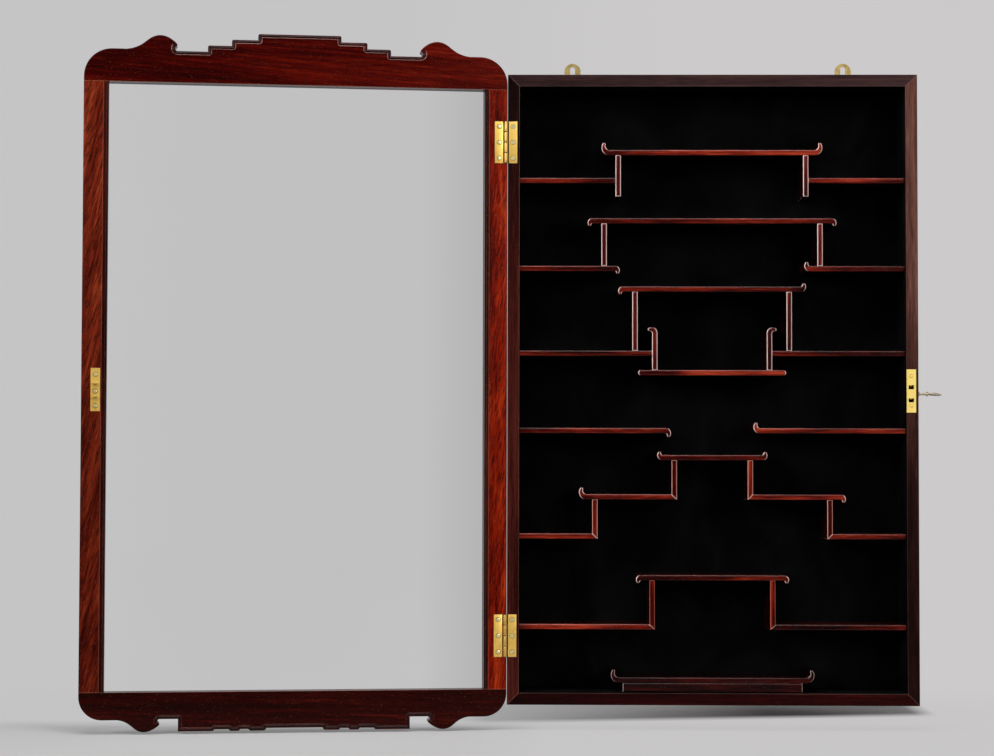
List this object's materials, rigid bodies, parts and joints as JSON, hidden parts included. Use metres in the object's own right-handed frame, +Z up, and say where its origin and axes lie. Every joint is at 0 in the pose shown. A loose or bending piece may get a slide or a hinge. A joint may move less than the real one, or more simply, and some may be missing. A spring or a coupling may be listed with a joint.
{
  "type": "wall display cabinet",
  "caption": "Shallow wall-hung display cabinet with stepped curl-ended shelves on velvet and a hinged glazed door with a scrolled crest, lock and key.",
  "frame": {"origin": "centre of the case's rear face, where it meets the wall", "axes": "+X to the viewer's right, the lock side; +Y into the wall; +Z up; the viewer stands at -Y and the door is open to the left at rest"},
  "size_m": [1.0154, 0.1534, 0.8193],
  "materials": {
    "case_wood": "dark brown wood, satin",
    "shelf_wood": "red-brown lacquered wood, glossy",
    "door_wood": "rosewood with dark streaks, glossy",
    "back_board_wood": "plain board, matt",
    "velvet": "black velvet",
    "glass": "clear",
    "brass": "polished",
    "spring_steel": "blued"
  },
  "bodies": {
    "case": {"roof_shelf": "shelf_wood", "roof_shelf_posts": "shelf_wood", "wing_shelves_one": "shelf_wood", "bridge_shelf_two": "shelf_wood", "bridge_posts_two": "shelf_wood", "wing_shelf_two_left": "shelf_wood", "wing_shelf_two_right": "shelf_wood", "bridge_shelf_three": "shelf_wood", "bridge_posts_three": "shelf_wood", "wing_shelves_three": "shelf_wood", "cradle_shelf": "shelf_wood", "cradle_posts": "shelf_wood", "wing_shelf_four_left": "shelf_wood", "wing_shelf_four_right": "shelf_wood", "bridge_shelf_five": "shelf_wood", "bridge_posts_five": "shelf_wood", "step_shelf_five_left": "shelf_wood", "step_shelf_five_right": "shelf_wood", "step_posts_six": "shelf_wood", "wing_shelves_six": "shelf_wood", "bridge_shelf_seven": "shelf_wood", "bridge_posts_seven": "shelf_wood", "wing_shelves_seven": "shelf_wood", "base_shelf": "shelf_wood", "base_plinth": "shelf_wood", "case_left_side": "case_wood", "case_right_side": "case_wood", "case_top_board": "case_wood", "case_bottom_board": "case_wood", "back_board": "back_board_wood", "back_board_screws": "brass", "velvet_back_lining": "velvet", "velvet_wall_lining": "velvet", "hanging_plates": "brass", "hanging_plate_screws": "brass", "hinge_case_leaves": "brass", "hinge_case_screws": "brass", "hinge_pins": "brass", "lock_case": "brass", "lock_cover": "brass", "lock_faceplate": "brass", "lock_drill_pin": "brass", "lock_bolt_spring": "spring_steel", "lock_screws": "brass"},
    "door": {"door_hinge_stile": "door_wood", "door_lock_stile": "door_wood", "door_crest_rail": "door_wood", "door_apron_rail": "door_wood", "door_glass": "glass", "glazing_beads": "door_wood", "hinge_door_leaves": "brass", "hinge_door_screws": "brass", "link_plate": "brass", "link_staples": "brass", "link_plate_screws": "brass"},
    "lock_bolt": {"lock_bolt": "brass"},
    "key": {"lock_key": "brass"}
  },
  "joints": [
    {"name": "door_hinge", "type": "hinge", "parent": "case", "child": "door", "pos_m": [-0.2461, -0.0783, 0], "axis": [0, 0, 1], "range_deg": [-8, 172]},
    {"name": "key_turn", "type": "hinge", "parent": "case", "child": "key", "pos_m": [0.244, -0.062, -0.006], "axis": [1, 0, 0], "range_deg": [0, 360]},
    {"name": "bolt_slide", "type": "slide", "parent": "case", "child": "lock_bolt", "axis": [0, 0, -1], "range_m": [0, 0.0046]}
  ],
  "couplings": [
    {"joint": "key_turn", "follows": "bolt_slide", "rad_per_m": 1365.9}
  ]
}
